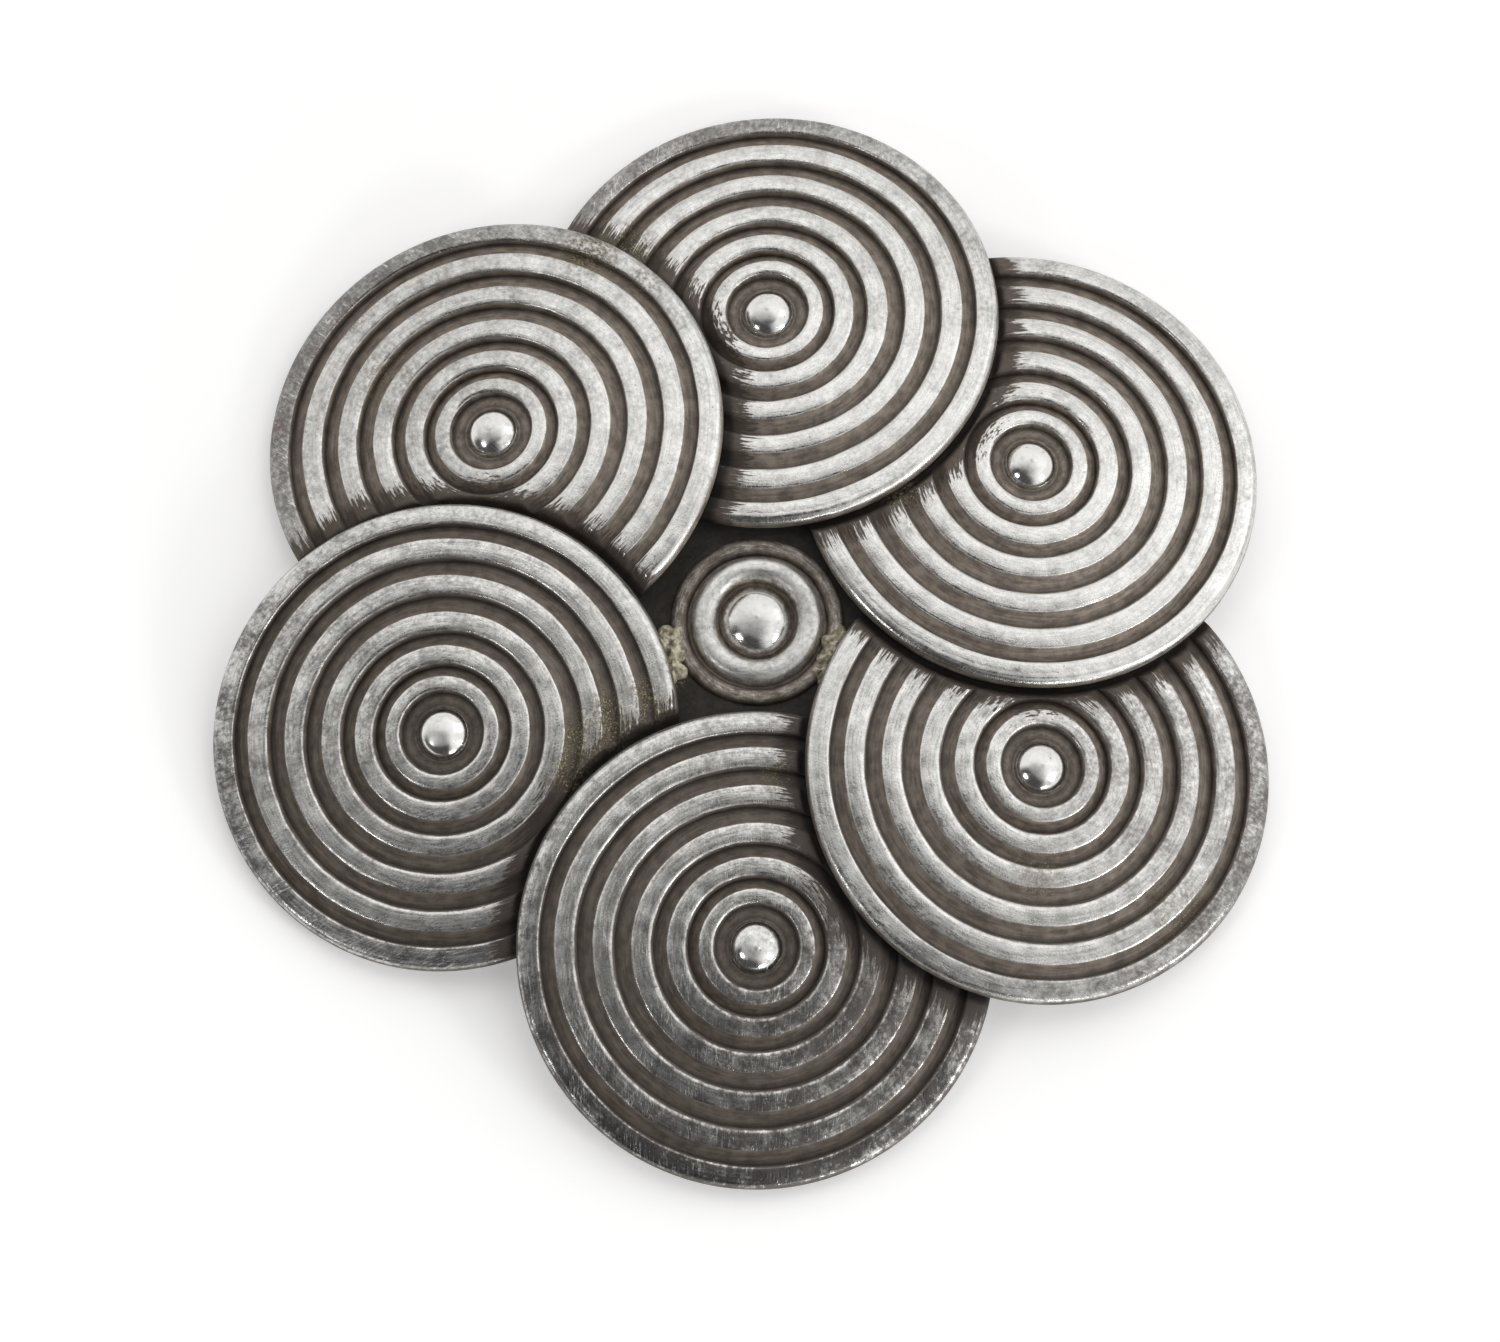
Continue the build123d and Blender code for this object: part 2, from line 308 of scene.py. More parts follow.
def disc_rows():
    """The whole face of a disc, from beside its pole to its outer edge."""
    rows = ball_rows(BALL_RADIUS, BALL_HEIGHT, BALL_COUNT)
    for ridge in RIDGES:
        inner, outer = ridge.inner * DISC_RADIUS, ridge.outer * DISC_RADIUS
        before = max(0.0, rows[-1][1])
        rows += groove_rows(rows[-1][0], inner + INNER_SHIFT, before, shaded_start=ridge is RIDGES[0])
        rows += ridge_rows(inner, outer)
    inner = RIM_INNER * DISC_RADIUS + INNER_SHIFT
    shoulder = DISC_RADIUS - RIM_SHOULDER
    rows += groove_rows(rows[-1][0], inner, rows[-1][1])
    width = shoulder - inner
    rows += inner_wall_rows(inner, width, RIM_BEND, RIM_LOW)
    for share in np.linspace(INNER_EDGE, 1, CROWN_COUNT):
        shine = 1 + (EDGE_SHINE - 1) * share**6
        rows.append((inner + width * share, worn_crown(share, width, RIM_BEND) - RIM_LOW, shine, 0.0))
    start = floor_level(shoulder) + rows[-1][1]
    drop = DISC_DEPTH - EDGE_HEIGHT + start
    for turn in np.linspace(0, np.pi / 2, EDGE_COUNT)[1:]:
        radius = shoulder + RIM_SHOULDER * math.sin(turn) ** RIM_POWER
        radius -= UNDERCUT * (1 - math.cos(turn)) ** 2
        level = start - drop * (1 - max(0.0, math.cos(turn)) ** RIM_POWER)
        shine = EDGE_SHINE - 0.7 * smooth_step(start - level, 0.1, 0.6)
        rows.append((radius, level - floor_level(radius), shine, 0.0))
    return np.array(rows)


def facing(turn, side):
    """From 1 where a direction in degrees is side, to 0 where it is opposite."""
    return 0.5 + 0.5 * np.cos(np.radians(turn - side))


def disc_matrix(disc):
    """From a disc's own frame to the brooch's, in millimetres."""
    slope = math.acos(math.cos(math.radians(disc.lean)) * math.cos(math.radians(disc.twist)))
    crown = disc.lift + DISC_DEPTH * math.cos(slope) + (DISC_RADIUS - BACK_BEVEL) * math.sin(slope)
    return np.array(
        Matrix.Translation((*BOSS_AXIS, 0))
        @ Matrix.Rotation(math.radians(disc.azimuth), 4, "Z")
        @ Matrix.Translation((disc.reach * DISC_RADIUS, 0, crown))
        @ Matrix.Rotation(math.radians(disc.lean), 4, "Y")
        @ Matrix.Rotation(math.radians(-disc.twist), 4, "X")
    )


def turned_mesh(name, points, around):
    """A closed mesh: a pole, rings of around points each, and a second pole."""
    rings = (len(points) - 2) // around
    faces = [(0, 1 + k, 1 + (k + 1) % around) for k in range(around)]
    for ring in range(rings - 1):
        a, b = 1 + ring * around, 1 + (ring + 1) * around
        faces += [(a + k, b + k, b + (k + 1) % around, a + (k + 1) % around) for k in range(around)]
    last, pole = 1 + (rings - 1) * around, len(points) - 1
    faces += [(last + k, pole, last + (k + 1) % around) for k in range(around)]
    mesh = bpy.data.meshes.new(name)
    mesh.from_pydata((points * MM).tolist(), [], faces)
    mesh.polygons.foreach_set("use_smooth", [True] * len(faces))
    return mesh


def put(mesh, name, values):
    """Stores a number or a vector for each vertex."""
    values = np.asarray(values, dtype=np.float32)
    vector = values.ndim == 2
    layer = mesh.attributes.new(name, "FLOAT_VECTOR" if vector else "FLOAT", "POINT")
    layer.data.foreach_set("vector" if vector else "value", values.ravel())


def put_all(mesh, local, world, seed, shine, corner_shade, lap, shade_under, dull):
    """Stores what the silver's finish reads."""
    reach = np.hypot(local[:, 0], local[:, 1])
    angle = np.arctan2(local[:, 1], local[:, 0])
    put(mesh, "place", local + np.array([17.0 * seed, 0, 0]))
    put(mesh, "along", np.stack([np.cos(angle), np.sin(angle), reach + 3.0 * seed], -1))
    put(mesh, "shine", shine)
    put(mesh, "corner_shade", corner_shade)
    put(mesh, "lap", lap)
    put(mesh, "shade_under", shade_under)
    put(mesh, "dull", dull)
    for name, spots in (("stain", STAINS), ("bloom", BLOOMS)):
        share = np.zeros(len(world))
        for spot in spots:
            gap = np.hypot(world[:, 0] - spot.x, world[:, 1] - spot.y)
            fade = 1 - smooth_step(gap, 0.4 * spot.reach, 1.6 * spot.reach)
            share = np.maximum(share, spot.strength * fade)
        put(mesh, name, share)


def add_piece(mesh, name, node, slot, *materials):
    for material in materials:
        mesh.materials.append(material)
    piece = bpy.data.objects.new(name, mesh)
    bpy.context.scene.collection.objects.link(piece)
    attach(piece, "root")
    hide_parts(node)
    return piece


def disc_mesh(disc, wear, over, seed):
    """One disc of the ring. It dives under its neighbour, over, and ends in a straight cut there."""
    rows = disc_rows()
    around = DISC_AROUND
    turn = np.tile(np.linspace(0, 2 * np.pi, around, endpoint=False), len(rows))
    radius, height, shine, corner_shade = (np.repeat(rows[:, k], around) for k in range(4))
    flat = np.stack([radius * np.cos(turn), radius * np.sin(turn)], -1)

    # Hand work: between the ball and the edge the ridges wander a little, and the crowns are worn unevenly.
    steady = smooth_step(DISC_RADIUS - radius, 0.1, 1.5) * smooth_step(radius, 1.4, 3.0)
    radius = radius + steady * uneven(flat, DISC_WANDER, seed)
    worn = DISC_HEIGHT_SHARE + uneven(flat, DISC_WORN, seed + 2)
    raised = height > 0
    height = np.where(raised, height * np.clip(worn, LOWEST_WORN, 1.0), height)
    outer = radius > DISC_RADIUS - RIM_SHOULDER
    radius = np.where(outer, radius - RIM_RIPPLE * (1 + waves(flat, RIPPLE_SIZE, seed + 4)) / 2, radius)
    radius = np.minimum(radius, DISC_RADIUS)
    top = np.stack([radius * np.cos(turn), radius * np.sin(turn), floor_level(radius) + height], -1)

    back_radii = np.linspace(DISC_RADIUS - BACK_INSET, 0, BACK_RINGS + 1)[:-1]
    back_rows = [(back_radii[0], BACK_BEVEL - DISC_DEPTH)]
    back_rows += [(r, floor_level(r) - SHEET) for r in back_radii]
    ring = np.linspace(0, 2 * np.pi, around, endpoint=False)
    back = np.concatenate([
        np.stack([r * np.cos(ring), r * np.sin(ring), np.full(around, level)], -1) for r, level in back_rows
    ])
    pole, back_pole = floor_level(0) + BALL_HEIGHT, floor_level(0) - SHEET
    local = np.concatenate([[[0, 0, pole]], top, back, [[0, 0, back_pole]]])
    shine = np.concatenate([[MATT_TOP], shine, np.full(len(back) + 1, BACK_SHINE)])
    corner_shade = np.concatenate([[0.0], corner_shade, np.zeros(len(back) + 1)])
    behind = np.concatenate([np.zeros(1 + len(top), bool), np.ones(len(back) + 1, bool)])

    place, over_place = disc_matrix(disc), disc_matrix(over)
    world = local @ place[:3, :3].T + place[:3, 3]
    in_over = (world - over_place[:3, 3]) @ over_place[:3, :3]
    lap = np.hypot(in_over[:, 0], in_over[:, 1]) - (DISC_RADIUS + SEAM)
    ceiling = -DISC_DEPTH - SEAM + LAP_SLOPE * np.clip(lap, 0, None)
    face_drop = np.clip(in_over[:, 2] - ceiling, 0, None)
    back_drop = np.where(lap < LAP_REACH, np.clip(in_over[:, 2] + LAP_SHEET - ceiling, 0, None), 0)
    world -= np.where(behind, back_drop, face_drop)[:, None] * over_place[:3, 2]

    mesh = turned_mesh(disc.name + "_silver", world, around)
    # painted shade: nearly black right by the lap, under the neighbour
    shade_under = 1 - smooth_step(lap, 0.0, SHADE_UNDER_REACH)
    turn = np.degrees(np.arctan2(world[:, 1] - place[1, 3], world[:, 0] - place[0, 3]))
    # painted shade: the silver is darkened more on one side of each disc and of its rim, partly as tarnish
    # and partly as shade on that side
    dull = wear.dull + wear.more * facing(turn, wear.dull_side)
    on_rim = smooth_step(np.hypot(local[:, 0], local[:, 1]) / DISC_RADIUS, *RIM_BAND)
    dull = dull + wear.rim_dull * on_rim * facing(turn, wear.rim_side)
    shine = shine - wear.film * (shine < FILM_BELOW)
    put_all(mesh, local, world, seed, shine, corner_shade, np.clip(lap, 0, FAR_FROM_LAP), shade_under, dull)
    first_behind = (len(rows) + 2) * around
    for face in mesh.polygons[first_behind:]:
        face.material_index = 1
    cut_under(mesh, place[:3, 3], over_place[:3, 3])
    mesh.set_sharp_from_angle(angle=SHARP_ANGLE)
    return mesh


def cut_under(mesh, here, there):
    """Cuts the hidden side off, a little past the line on which the two outlines cross."""
    towards = Vector((there[0] - here[0], there[1] - here[1], 0)).normalized()
    crossing = Vector(((here[0] + there[0]) / 2, (here[1] + there[1]) / 2, 0))
    solid = bmesh.new()
    solid.from_mesh(mesh)
    cut = bmesh.ops.bisect_plane(
        solid,
        geom=solid.verts[:] + solid.edges[:] + solid.faces[:],
        plane_co=(crossing + towards * TUCK) * MM,
        plane_no=towards,
        clear_outer=True,
    )
    edges = [piece for piece in cut["geom_cut"] if isinstance(piece, bmesh.types.BMEdge)]
    filled = bmesh.ops.holes_fill(solid, edges=edges)["faces"]
    for face in filled:
        face.smooth = False
        face.material_index = 1
    bmesh.ops.triangulate(solid, faces=filled)
    bmesh.ops.recalc_face_normals(solid, faces=solid.faces[:])
    solid.to_mesh(mesh)
    solid.free()


def boss_mesh():
    """The boss with its ball, ring and low step on a base that runs under the discs."""
    rows = ball_rows(BOSS_BALL_RADIUS, BOSS_BALL_HEIGHT, BOSS_BALL_COUNT)
    rows += groove_rows(BOSS_BALL_RADIUS, BOSS_RING_INNER)
    rows += round_ridge_rows(BOSS_RING_INNER, BOSS_RING_OUTER, BOSS_RING_HEIGHT, RING_COUNT, squareness=2.4)
    rows += groove_rows(BOSS_RING_OUTER, BOSS_STEP_INNER, count=1)
    rows += round_ridge_rows(
        BOSS_STEP_INNER, BOSS_STEP_OUTER, BOSS_STEP_HEIGHT, STEP_COUNT, squareness=2.2, shine=STEP_SHINE
    )
    rows += groove_rows(BOSS_STEP_OUTER, BOSS_BASE_RADIUS, count=10)
    edge = 0.05
    under = -BOSS_BASE_THICKNESS
    rows += [(BOSS_BASE_RADIUS - edge, 0, 0, 0), (BOSS_BASE_RADIUS, -edge, 0, 0)]
    rows += [(BOSS_BASE_RADIUS, edge + under, 0, 0), (BOSS_BASE_RADIUS - edge, under, 0, 0)]
    rows += [(BOSS_BASE_RADIUS * k / 6, under, 0, 0) for k in range(5, 0, -1)]
    rows = np.array(rows)
    around = BOSS_AROUND
    turn = np.tile(np.linspace(0, 2 * np.pi, around, endpoint=False), len(rows))
    radius, height, shine, corner_shade = (np.repeat(rows[:, k], around) for k in range(4))
    flat = np.stack([radius * np.cos(turn), radius * np.sin(turn)], -1)
    raised = height > 0
    radius = radius + raised * uneven(flat, BOSS_WANDER, 90)
    height = np.where(raised, height * (BOSS_HEIGHT_SHARE + uneven(flat, BOSS_WORN, 92)), height)
    local = np.stack([radius * np.cos(turn), radius * np.sin(turn), height], -1)
    local = np.concatenate([[[0, 0, BOSS_BALL_HEIGHT]], local, [[0, 0, -BOSS_BASE_THICKNESS]]])
    shine = np.concatenate([[MATT_TOP], shine, [0.0]])
    corner_shade = np.concatenate([[0.0], corner_shade, [0.0]])
    world = local + np.array([*BOSS_AXIS, BASE_TOP])
    mesh = turned_mesh("centre_boss_silver", world, around)
    reach = np.hypot(local[:, 0], local[:, 1])
    # the painted shade in the corners is kept on the ring's outer part only
    corner_shade = corner_shade * smooth_step(reach, BOSS_RING_INNER, BOSS_RING_OUTER)
    # painted shade: the base beyond the step is painted nearly black, as shade in the recess between the
    # discs
    shade_under = smooth_step(reach, BOSS_STEP_OUTER - 0.5, BOSS_STEP_OUTER + 0.1)
    lap, dull = np.full(len(local), FAR_FROM_LAP), np.full(len(local), 0.1)
    put_all(mesh, local, world, 8, shine, corner_shade, lap, shade_under, dull)
    mesh.set_sharp_from_angle(angle=SHARP_ANGLE)
    return mesh


def crust_mesh(name, x, y, reach, height, seed):
    """A lump of dried polish on the boss's base. x and y are from the boss's axis."""
    around, sunk = CRUST_AROUND, -0.1
    ring = np.linspace(0, 2 * np.pi, around, endpoint=False)
    unit = np.stack([np.cos(ring), np.sin(ring)], -1)
    outline = reach * (1 + uneven(unit, CRUST_OUTLINE, seed))
    points = [np.array([[x, y, height]])]
    for share in np.linspace(0, 1, CRUST_RINGS + 1)[1:]:
        flat = unit * (outline * share)[:, None] + (x, y)
        rough = 1 + uneven(flat, CRUST_ROUGH, seed + 1)
        level = height * (1 - share**3) * np.clip(rough, 0.2, 1.6)
        points.append(np.column_stack([flat, level]))
    points.append(np.column_stack([unit * (0.9 * outline)[:, None] + (x, y), np.full(around, sunk)]))
    points.append(np.array([[x, y, sunk]]))
    world = np.concatenate(points) + np.array([*BOSS_AXIS, BASE_TOP])
    return turned_mesh(name, world, around)


class Shader:
    """A short way to write a material's nodes."""

    def __init__(self, name):
        self.material = bpy.data.materials.new(name)
        self.material.use_nodes = True
        self.tree = self.material.node_tree
        self.tree.nodes.clear()

    def join(self, value, socket):
        if isinstance(value, bpy.types.NodeSocket):
            self.tree.links.new(value, socket)
        else:
            socket.default_value = value

    def add(self, kind, inputs=None, **settings):
        node = self.tree.nodes.new(kind)
        for key, value in settings.items():
            setattr(node, key, value)
        for key, value in (inputs or {}).items():
            self.join(value, node.inputs[key])
        return node

    def number(self, name):
        return self.add("ShaderNodeAttribute", attribute_name=name).outputs["Fac"]

    def vector(self, name):
        return self.add("ShaderNodeAttribute", attribute_name=name).outputs["Vector"]

    def math(self, operation, a, b=0.0, clamp=False):
        return self.add("ShaderNodeMath", {0: a, 1: b}, operation=operation, use_clamp=clamp).outputs[0]

    def plus(self, *terms):
        total = terms[0]
        for term in terms[1:]:
            total = self.math("ADD", total, term)
        return total

    def times(self, *terms):
        total = terms[0]
        for term in terms[1:]:
            total = self.math("MULTIPLY", total, term)
        return total

    def rest(self, value):
        """One less value."""
        return self.math("SUBTRACT", 1.0, value)

    def ramp(self, value, low, high, to_low=0.0, to_high=1.0):
        inputs = {"Value": value, "From Min": low, "From Max": high, "To Min": to_low, "To Max": to_high}
        return self.add("ShaderNodeMapRange", inputs, interpolation_type="SMOOTHSTEP").outputs["Result"]

    def moved(self, vector, scale=(1, 1, 1), turn=0.0, offset=(0, 0, 0)):
        inputs = {"Vector": vector, "Rotation": (0, 0, turn), "Scale": scale, "Location": offset}
        return self.add("ShaderNodeMapping", inputs).outputs[0]

    def noise(self, vector, scale, detail=4.0, roughness=0.55):
        inputs = {"Vector": vector, "Scale": scale, "Detail": detail, "Roughness": roughness}
        return self.add("ShaderNodeTexNoise", inputs).outputs["Fac"]

    def mix(self, share, a, b):
        node = self.add("ShaderNodeMix", data_type="RGBA")
        for socket, value in ((0, share), (6, a), (7, b)):
            self.join(value, node.inputs[socket])
        return node.outputs[2]

    def finish(self, shader):
        self.add("ShaderNodeOutputMaterial", {"Surface": shader.outputs[0]})
        return self.material


# Colours of the silver and of what lies on it
GRAIN_DARK, GRAIN_LIGHT = (0.53, 0.52, 0.50, 1), (0.76, 0.75, 0.73, 1)
POLISHED_SILVER = (0.80, 0.79, 0.77, 1)
CLOUDED_AND_SHADED_SILVER = (0.15, 0.14, 0.136, 1)
PIT_BROWN = (0.10, 0.08, 0.07, 1)
BLOOM_PURPLE = (0.17, 0.115, 0.115, 1)
FILM_DARK, FILM_LIGHT = (0.15, 0.124, 0.104, 1), (0.37, 0.315, 0.262, 1)
# painted shade in a groove's corner
CORNER_SHADE_BROWN = (0.03, 0.023, 0.019, 1)
# darker brown by a lap: partly patina that polish didn't reach, partly painted shade under the neighbour's
# edge
LAP_BROWN_AND_SHADE = (0.05, 0.037, 0.030, 1)
DIRT_BROWN = (0.045, 0.037, 0.033, 1)
# painted shade, nearly black, in the recess and under a neighbour
SHADE_UNDER_BLACK = (0.012, 0.010, 0.009, 1)
GRIME_DARK, GRIME_LIGHT = (0.07, 0.058, 0.028, 1), (0.62, 0.57, 0.36, 1)
BACK_LIGHT, BACK_BROWN = (0.66, 0.65, 0.63, 1), (0.30, 0.26, 0.24, 1)
CRUST_DARK, CRUST_LIGHT = (0.26, 0.235, 0.16, 1), (0.66, 0.62, 0.48, 1)
ROUGHEST_FILM, SMOOTHEST_CROWN, LEAST_ROUGH = 0.5, 0.19, 0.12
BUMP_DISTANCE = 0.04 * MM

# Four sorts of fine scratches: which way they run, in radians, and their sizes
Scratch = namedtuple("Scratch", "turn length spacing width")
SCRATCHES = [
    Scratch(turn=0.5, length=2.6, spacing=0.22, width=0.010),
    Scratch(turn=1.9, length=2.0, spacing=0.20, width=0.009),
    Scratch(turn=2.6, length=3.0, spacing=0.26, width=0.010),
    Scratch(turn=3.7, length=1.6, spacing=0.18, width=0.010),
]


def scratches(s, place, turn, length, spacing, width):
    """Long thin lines that all run about one way, here and there."""
    lanes = s.moved(place, (1 / length, 1 / spacing, 1 / length), turn, (turn * 7, 0, 0))
    field = s.noise(lanes, 1.0, 1.0, 0.4)
    line = s.ramp(s.math("ABSOLUTE", s.math("SUBTRACT", field, 0.5)), 0.0, width, 1.0, 0.0)
    where = s.ramp(s.noise(s.moved(place, offset=(turn * 11, 3, 0)), 0.35, 2), 0.50, 0.62)
    return s.times(line, where)


def silver(name, satin=0.0, dirt=0.0):
    """Worn silver: rubbed bright on the crowns, brown in the grooves, ragged where it dives under another.
    satin is how much rougher it is than most, and dirt how much darker its brown parts are, from 0 to 1."""
    s = Shader(name)
    marbling = 14.0 * dirt**2
    place = s.vector("place")
    strokes = s.noise(s.moved(s.vector("along"), (6, 6, 8)), 1.0, 5, 0.6)
    grain = s.noise(place, 9.0, 5, 0.7)
    speckle = s.noise(place, 3.6, 4, 0.6)
    clouds = s.noise(place, 0.55, 5, 0.62)
    patches = s.noise(s.moved(place, offset=(0, 31, 0)), 1.3, 5, 0.65)

    # Where the silver is rubbed bright
    edge = s.plus(
        s.number("shine"),
        s.times(s.math("SUBTRACT", strokes, 0.5), 0.45),
        s.times(s.math("SUBTRACT", grain, 0.5), 0.5),
        s.times(s.math("SUBTRACT", patches, 0.5), 0.35),
    )
    crown = s.ramp(edge, 0.5, 0.9)
    ragged = s.plus(s.number("lap"), s.times(strokes, -5.0), s.times(patches, -1.5))
    open_side = s.ramp(ragged, -2.3, -1.7)
    bright = s.times(crown, open_side)

    # Clouding, pits and scratches on the bright parts, with the clouding also painted shade on one side of
    # each disc. polish is 1 on the balls, matt on their tops, and smooth where the metal is rubbed most.
    marks = s.math("MINIMUM", 1.0, s.plus(*(scratches(s, place, *sort) for sort in SCRATCHES)))
    polish = s.ramp(s.number("shine"), 1.1, 1.3)
    matt = s.ramp(s.number("shine"), 1.42, 1.6)
    smooth = s.ramp(s.plus(s.number("shine"), s.times(patches, 0.5), -0.25), 0.98, 1.12)
    marbled = s.plus(s.times(clouds, 0.8), s.times(speckle, 0.7), s.times(grain, 0.35), -0.925)
    dull = s.times(s.number("dull"), s.rest(s.times(polish, 0.7)))
    marbled = s.times(marbled, s.plus(1.25, s.times(dull, marbling)))
    # the veil darkens the silver where it is clouded, and on one side of each disc as painted shade
    veil_and_shade = s.ramp(s.plus(dull, marbled, s.times(marks, -0.6)), -0.1, 0.9)
    pit_cells = s.add("ShaderNodeTexVoronoi", {"Vector": place, "Scale": 1.5})
    pit = s.times(
        s.ramp(pit_cells.outputs["Distance"], 0.05, 0.11, 1.0, 0.0),
        s.ramp(s.add("ShaderNodeSeparateColor", {0: pit_cells.outputs["Color"]}).outputs[0], 0.6, 0.7),
    )
    mottle = s.plus(s.times(speckle, 0.45), s.times(clouds, 0.25), s.times(strokes, 0.3))
    mottle = s.ramp(mottle, 0.42, 0.58)
    fine = s.plus(s.times(grain, 0.45), s.times(strokes, 0.55))
    clean = s.mix(s.ramp(fine, 0.36, 0.58), GRAIN_DARK, GRAIN_LIGHT)
    clean = s.mix(polish, clean, POLISHED_SILVER)
    # darkened silver: partly tarnish, partly painted shade on one side
    dulled_and_shaded = s.mix(veil_and_shade, clean, CLOUDED_AND_SHADED_SILVER)
    pitted = s.mix(s.times(pit, 0.6), dulled_and_shaded, PIT_BROWN)
    bloom = s.ramp(s.plus(s.times(speckle, 0.5), s.times(grain, 0.5)), 0.42, 0.56)
    bloomed = s.times(s.number("bloom"), bloom)
    pitted = s.mix(s.times(bloomed, 0.7), pitted, BLOOM_PURPLE)

    # The brown film, patina in the grooves: warm and thin by the crowns, with painted shade in the corners,
    # darker brown by a lap (partly patina, partly painted shade), and painted shade nearly black in the
    # recess and under a neighbour
    blotch = s.plus(s.times(patches, 0.5), s.times(strokes, 0.5))
    film = s.mix(s.ramp(blotch, 0.36, 0.64), FILM_DARK, FILM_LIGHT)
    # painted shade: the film darkens towards the corner at the foot of the next ridge
    film = s.mix(s.times(s.number("corner_shade"), 0.75), film, CORNER_SHADE_BROWN)
    # darker brown by a lap: partly patina, partly painted shade under the neighbour's edge
    film = s.mix(s.times(s.rest(open_side), 0.8), film, LAP_BROWN_AND_SHADE)
    film = s.mix(dirt, film, DIRT_BROWN)
    # painted shade: nearly black in the recess and under a neighbour
    film = s.mix(s.times(s.number("shade_under"), 0.9), film, SHADE_UNDER_BLACK)
    smear = s.ramp(s.plus(s.times(speckle, 0.6), s.times(strokes, 0.4)), 0.42, 0.56)
    grime = s.times(s.number("stain"), smear)
    olive = s.mix(s.ramp(grain, 0.50, 0.62), GRIME_DARK, GRIME_LIGHT)
    film = s.mix(s.times(grime, 0.9), film, olive)
    bright = s.times(bright, s.rest(s.times(grime, 0.75)))

    colour = s.mix(bright, film, pitted)
    metal = s.ramp(bright, 0.0, 0.6, 0.35, 1.0)
    rough = s.plus(
        s.ramp(bright, 0.0, 1.0, ROUGHEST_FILM, SMOOTHEST_CROWN),
        s.times(s.plus(satin, s.times(mottle, 0.18)), s.rest(polish)),
        s.times(s.math("SUBTRACT", grain, 0.5), 0.18),
        s.times(smooth, -0.06),
        s.times(matt, 0.33),
        s.times(marks, 0.2),
    )
    rough = s.math("MAXIMUM", rough, LEAST_ROUGH)
    height = s.plus(
        s.times(grain, 0.5),
        s.times(speckle, 0.25),
        s.times(strokes, 0.35),
        s.times(marks, -0.15),
    )
    height = s.times(height, s.rest(s.times(smooth, 0.7)))
    bump = s.add("ShaderNodeBump", {"Height": height, "Strength": 0.5, "Distance": BUMP_DISTANCE})
    shader = s.add(
        "ShaderNodeBsdfPrincipled",
        {"Base Color": colour, "Metallic": metal, "Roughness": rough, "Normal": bump.outputs[0]},
    )
    return s.finish(shader)


def plain_silver(name):
    """The unseen back and the pin: satin silver with a faint brown bloom."""
    s = Shader(name)
    place = s.add("ShaderNodeTexCoord").outputs["Object"]
    cloud = s.noise(place, 260.0, 5, 0.6)
    fine = s.noise(place, 5000.0, 4, 0.6)
    colour = s.mix(s.ramp(cloud, 0.35, 0.75), BACK_LIGHT, BACK_BROWN)
    bump = s.add("ShaderNodeBump", {"Height": fine, "Strength": 0.25, "Distance": BUMP_DISTANCE})
    shader = s.add(
        "ShaderNodeBsdfPrincipled",
        {
            "Base Color": colour,
            "Metallic": 1.0,
            "Roughness": s.plus(0.34, s.times(fine, 0.14)),
            "Normal": bump.outputs[0],
        },
    )
    return s.finish(shader)


def crust():
    """Pale, chalky dried polish."""
    s = Shader("crust")
    place = s.add("ShaderNodeTexCoord").outputs["Object"]
    lumps = s.noise(place, 2500.0, 5, 0.65)
    fine = s.noise(place, 9000.0, 4, 0.6)
    colour = s.mix(s.ramp(lumps, 0.38, 0.62), CRUST_DARK, CRUST_LIGHT)
    height = s.plus(lumps, s.times(fine, 0.5))
    bump = s.add("ShaderNodeBump", {"Height": height, "Strength": 0.8, "Distance": 3 * BUMP_DISTANCE})
    inputs = {"Base Color": colour, "Roughness": 0.9, "Normal": bump.outputs[0]}
    return s.finish(s.add("ShaderNodeBsdfPrincipled", inputs))


# The pieces
back_finish = plain_silver("back_silver")
for k, (disc, wear) in enumerate(zip(DISCS, WEAR)):
    mesh = disc_mesh(disc, wear, over=DISCS[k - 1], seed=10 * k + 1)
    finish = silver(disc.name + "_finish", dirt=wear.dirt)
    add_piece(mesh, disc.name + "_silver", disc.name, "disc_silver", finish, back_finish)
boss_finish = silver("boss_finish", satin=0.12, dirt=0.15)
add_piece(boss_mesh(), "centre_boss_silver", "centre_boss", "boss_silver", boss_finish)
chalk = crust()
Lump = namedtuple("Lump", "name x y reach height")
for k, lump in enumerate([
    Lump("crust_left", x=-5.35, y=-1.6, reach=1.15, height=0.8),
    Lump("crust_left_low", x=-4.95, y=-3.0, reach=0.9, height=0.6),
    Lump("crust_right", x=4.6, y=-1.7, reach=1.15, height=1.0),
    Lump("crust_right_low", x=4.1, y=-2.9, reach=0.9, height=0.8),
]):
    mesh = crust_mesh(*lump, seed=70 + 3 * k)
    add_piece(mesh, lump.name, "centre_boss", "boss_silver", chalk)
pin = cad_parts["back_pin"]
pin.data.materials.clear()
pin.data.materials.append(plain_silver("pin_finish"))

# The floor: a white light table
HALF_FLOOR = 3.0
FLOOR_GLOW = 0.21
floor_mesh = bpy.data.meshes.new("floor")
corners = [(x * HALF_FLOOR, y * HALF_FLOOR, 0) for x, y in ((-1, -1), (1, -1), (1, 1), (-1, 1))]
floor_mesh.from_pydata(corners, [], [(0, 1, 2, 3)])
floor = bpy.data.objects.new("floor", floor_mesh)
bpy.context.scene.collection.objects.link(floor)
paper = Shader("paper")
floor_mesh.materials.append(paper.finish(paper.add(
    "ShaderNodeBsdfPrincipled",
    {
        "Base Color": (0.95, 0.95, 0.95, 1),
        "Roughness": 0.9,
        "Emission Color": (1, 1, 1, 1),
        "Emission Strength": FLOOR_GLOW,
    },
)))

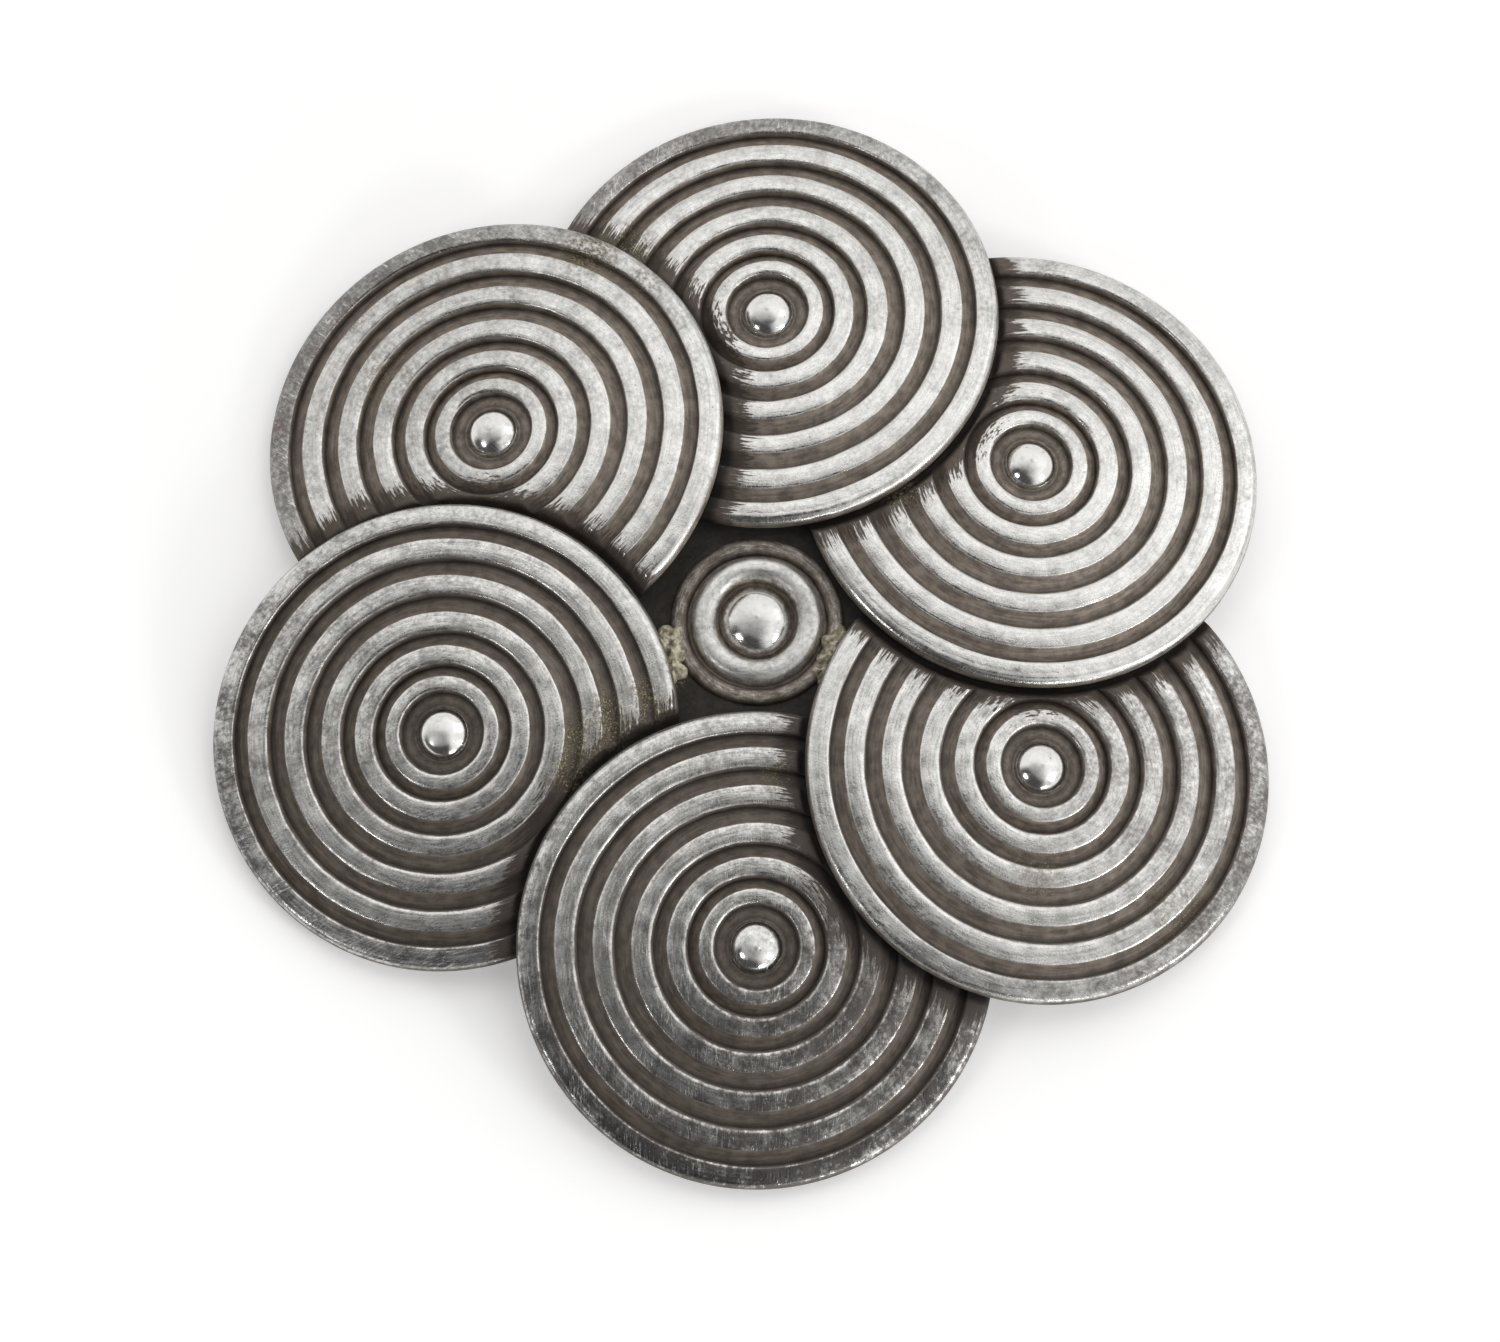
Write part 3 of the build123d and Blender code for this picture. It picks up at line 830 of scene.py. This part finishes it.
# The camera, 250 mm over the brooch and tilted towards its lower edge
TILT = math.radians(15.8)
IMAGE_WIDTH, IMAGE_HEIGHT = 1500, 1342
PIXEL = 0.05934 * MM  # the width of one pixel of the photograph at the brooch
DISTANCE = 4271 * PIXEL
AIM_BEYOND_AXIS, AIM_HEIGHT = 0.33, 3.35
AIM = Vector((BOSS_AXIS[0], BOSS_AXIS[1] + AIM_BEYOND_AXIS, AIM_HEIGHT)) * MM
AIM_PIXEL_X, AIM_PIXEL_Y = 757, 617
SENSOR_WIDTH = 36.0
back = Vector((0, -math.sin(TILT), math.cos(TILT)))
up = Vector((0, math.cos(TILT), math.sin(TILT)))
camera_data = bpy.data.cameras.new("camera")
camera_data.sensor_width = SENSOR_WIDTH
camera_data.lens = SENSOR_WIDTH * DISTANCE / (IMAGE_WIDTH * PIXEL)
camera_data.clip_start = 0.01
camera = bpy.data.objects.new("camera", camera_data)
bpy.context.scene.collection.objects.link(camera)
right_of_middle = (AIM_PIXEL_X - IMAGE_WIDTH / 2) * PIXEL
over_middle = (IMAGE_HEIGHT / 2 - AIM_PIXEL_Y) * PIXEL
camera.location = AIM + back * DISTANCE - Vector((1, 0, 0)) * right_of_middle - up * over_middle
camera.rotation_euler = (TILT, 0, 0)
bpy.context.scene.camera = camera


def panel(name, direction, distance, width, height, roll, radiance):
    """A soft light panel that faces the brooch. roll turns it in its own plane, in degrees."""
    data = bpy.data.lights.new(name, "AREA")
    data.shape = "RECTANGLE"
    data.size, data.size_y = width, height
    data.energy = radiance * math.pi * width * height
    light = bpy.data.objects.new(name, data)
    towards = Vector(direction).normalized()
    light.location = towards * distance
    aimed = (-towards).to_track_quat("-Z", "Y").to_matrix()
    light.rotation_euler = (aimed @ Matrix.Rotation(math.radians(roll), 3, "Z")).to_euler()
    bpy.context.scene.collection.objects.link(light)


# The light: a white studio all round with a dark side at the front left and a dark patch overhead, a soft
# panel beyond the top of the brooch, another at the right, and small lamps low in front
panel("key", (0.15, 0.45, 0.88), distance=0.55, width=0.66, height=0.42, roll=-17, radiance=0.3)
panel("side", (0.75, 0.33, 0.57), distance=0.6, width=0.26, height=0.26, roll=0, radiance=0.7)
panel("low_left", (-0.70, -0.50, 0.49), distance=0.5, width=0.11, height=0.08, roll=0, radiance=8.0)
panel("low_front", (0.35, -0.92, 0.13), distance=0.5, width=0.16, height=0.05, roll=0, radiance=10.0)
panel("low_right", (0.78, -0.50, 0.36), distance=0.5, width=0.10, height=0.06, roll=0, radiance=25.0)

# within: as near as this to its direction, in degrees, the studio is dark, and from beyond on it is bright
Dark = namedtuple("Dark", "direction within beyond")
DARK_SIDE = Dark(Vector((-0.54, -0.77, 0.34)), within=36, beyond=64)
DARK_TOP = Dark(Vector((-0.04, -0.20, 0.978)), within=10, beyond=33)
STUDIO_BRIGHT, STUDIO_DARK = 1.0, 0.08
world = bpy.data.worlds.new("world")
bpy.context.scene.world = world
world.use_nodes = True
studio = world.node_tree
background = studio.nodes["Background"]
background.inputs["Color"].default_value = (1.0, 0.995, 0.985, 1)
way = studio.nodes.new("ShaderNodeTexCoord")
shades = []
for dark in (DARK_SIDE, DARK_TOP):
    turned = studio.nodes.new("ShaderNodeVectorMath")
    turned.operation = "DOT_PRODUCT"
    turned.inputs[1].default_value = dark.direction.normalized()
    shade = studio.nodes.new("ShaderNodeMapRange")
    shade.interpolation_type = "SMOOTHSTEP"
    for name, value in (
        ("From Min", math.cos(math.radians(dark.beyond))),
        ("From Max", math.cos(math.radians(dark.within))),
        ("To Min", STUDIO_BRIGHT),
        ("To Max", STUDIO_DARK),
    ):
        shade.inputs[name].default_value = value
    studio.links.new(way.outputs["Generated"], turned.inputs[0])
    studio.links.new(turned.outputs["Value"], shade.inputs["Value"])
    shades.append(shade.outputs["Result"])
darker = studio.nodes.new("ShaderNodeMath")
darker.operation = "MINIMUM"
studio.links.new(shades[0], darker.inputs[0])
studio.links.new(shades[1], darker.inputs[1])
studio.links.new(darker.outputs[0], background.inputs["Strength"])
bpy.context.scene.view_settings.view_transform = "Standard"
